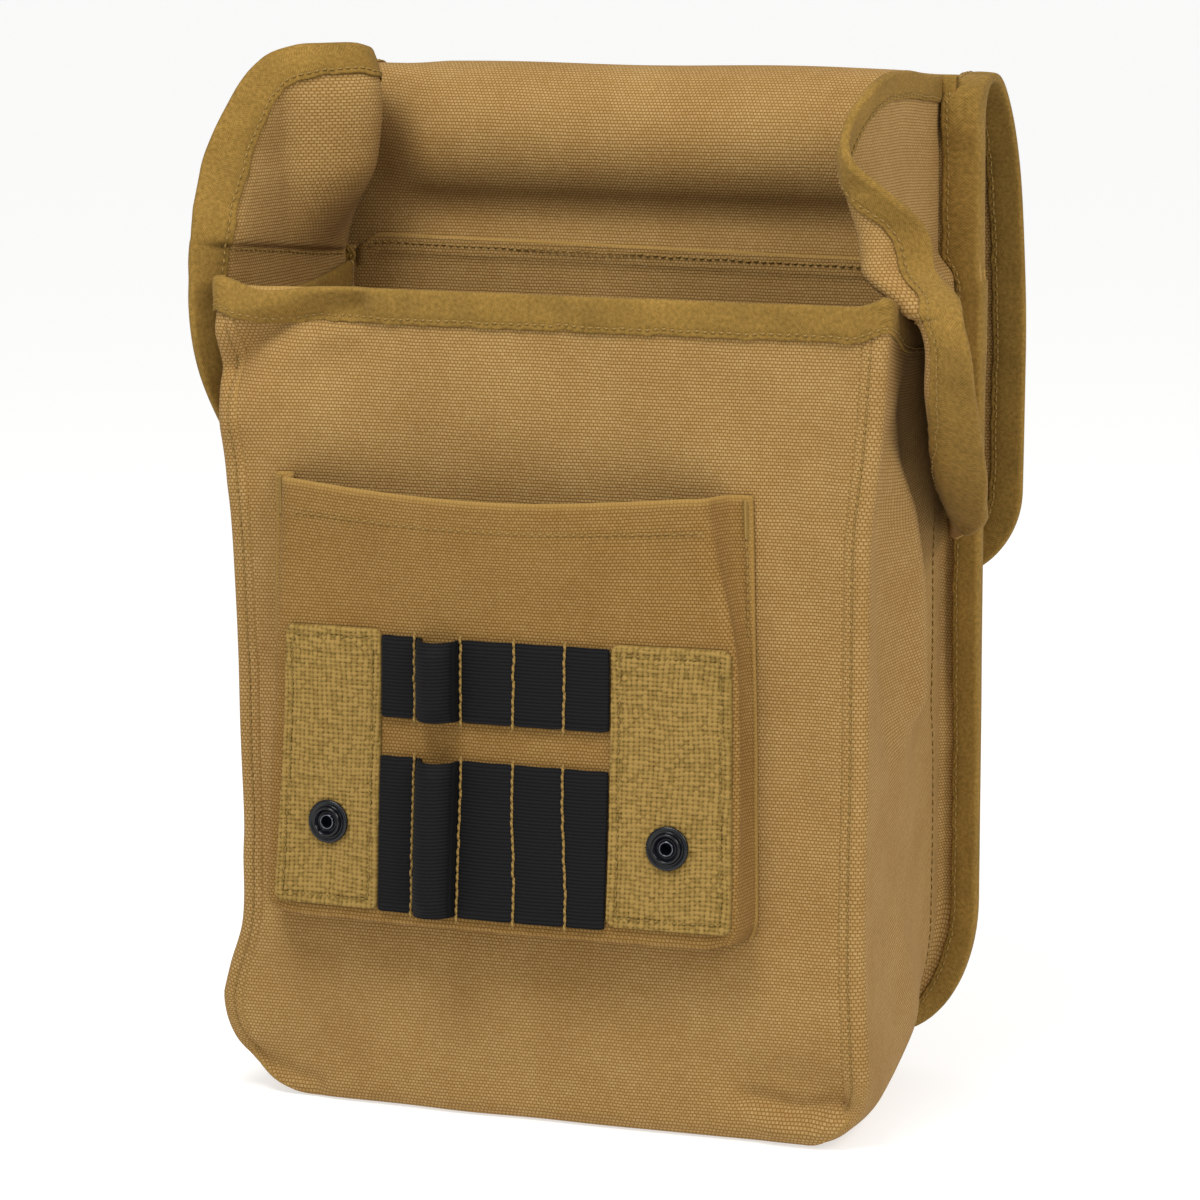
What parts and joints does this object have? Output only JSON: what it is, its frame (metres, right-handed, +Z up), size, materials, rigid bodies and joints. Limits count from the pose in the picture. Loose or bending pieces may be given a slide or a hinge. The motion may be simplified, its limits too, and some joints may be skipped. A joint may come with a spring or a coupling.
{
  "type": "canvas map case",
  "caption": "Open canvas shoulder-bag body for maps, with a bellows front pocket, pen loops, snap studs, bound half-round side ears and a flap thrown back in a roll.",
  "frame": {"origin": "middle of the flat base, on the surface that the bag stands on", "axes": "+Z up, -Y out of the front with the pocket, +X to the right as the front is seen"},
  "size_m": [0.2663, 0.1745, 0.3398],
  "materials": {
    "canvas": "plain-woven cotton canvas, tan, matt",
    "binding_tape": "herringbone cotton tape, olive, matt",
    "webbing": "basket-woven jute webbing, mustard, matt",
    "elastic": "ribbed braided elastic, black, matt",
    "snap_enamel": "black enamel over brass, half gloss"
  },
  "bodies": {
    "root": {"front_panel": "canvas", "gusset": "canvas", "back_panel": "canvas", "pocket": "canvas", "flap": "canvas", "ear_left": "canvas", "ear_right": "canvas", "top_binding": "binding_tape", "back_seam_binding": "binding_tape", "flap_binding": "binding_tape", "ear_left_binding": "binding_tape", "ear_right_binding": "binding_tape", "patch_left": "webbing", "patch_right": "webbing", "elastic_upper": "elastic", "elastic_lower": "elastic", "snap_left": "snap_enamel", "snap_right": "snap_enamel"}
  },
  "joints": []
}
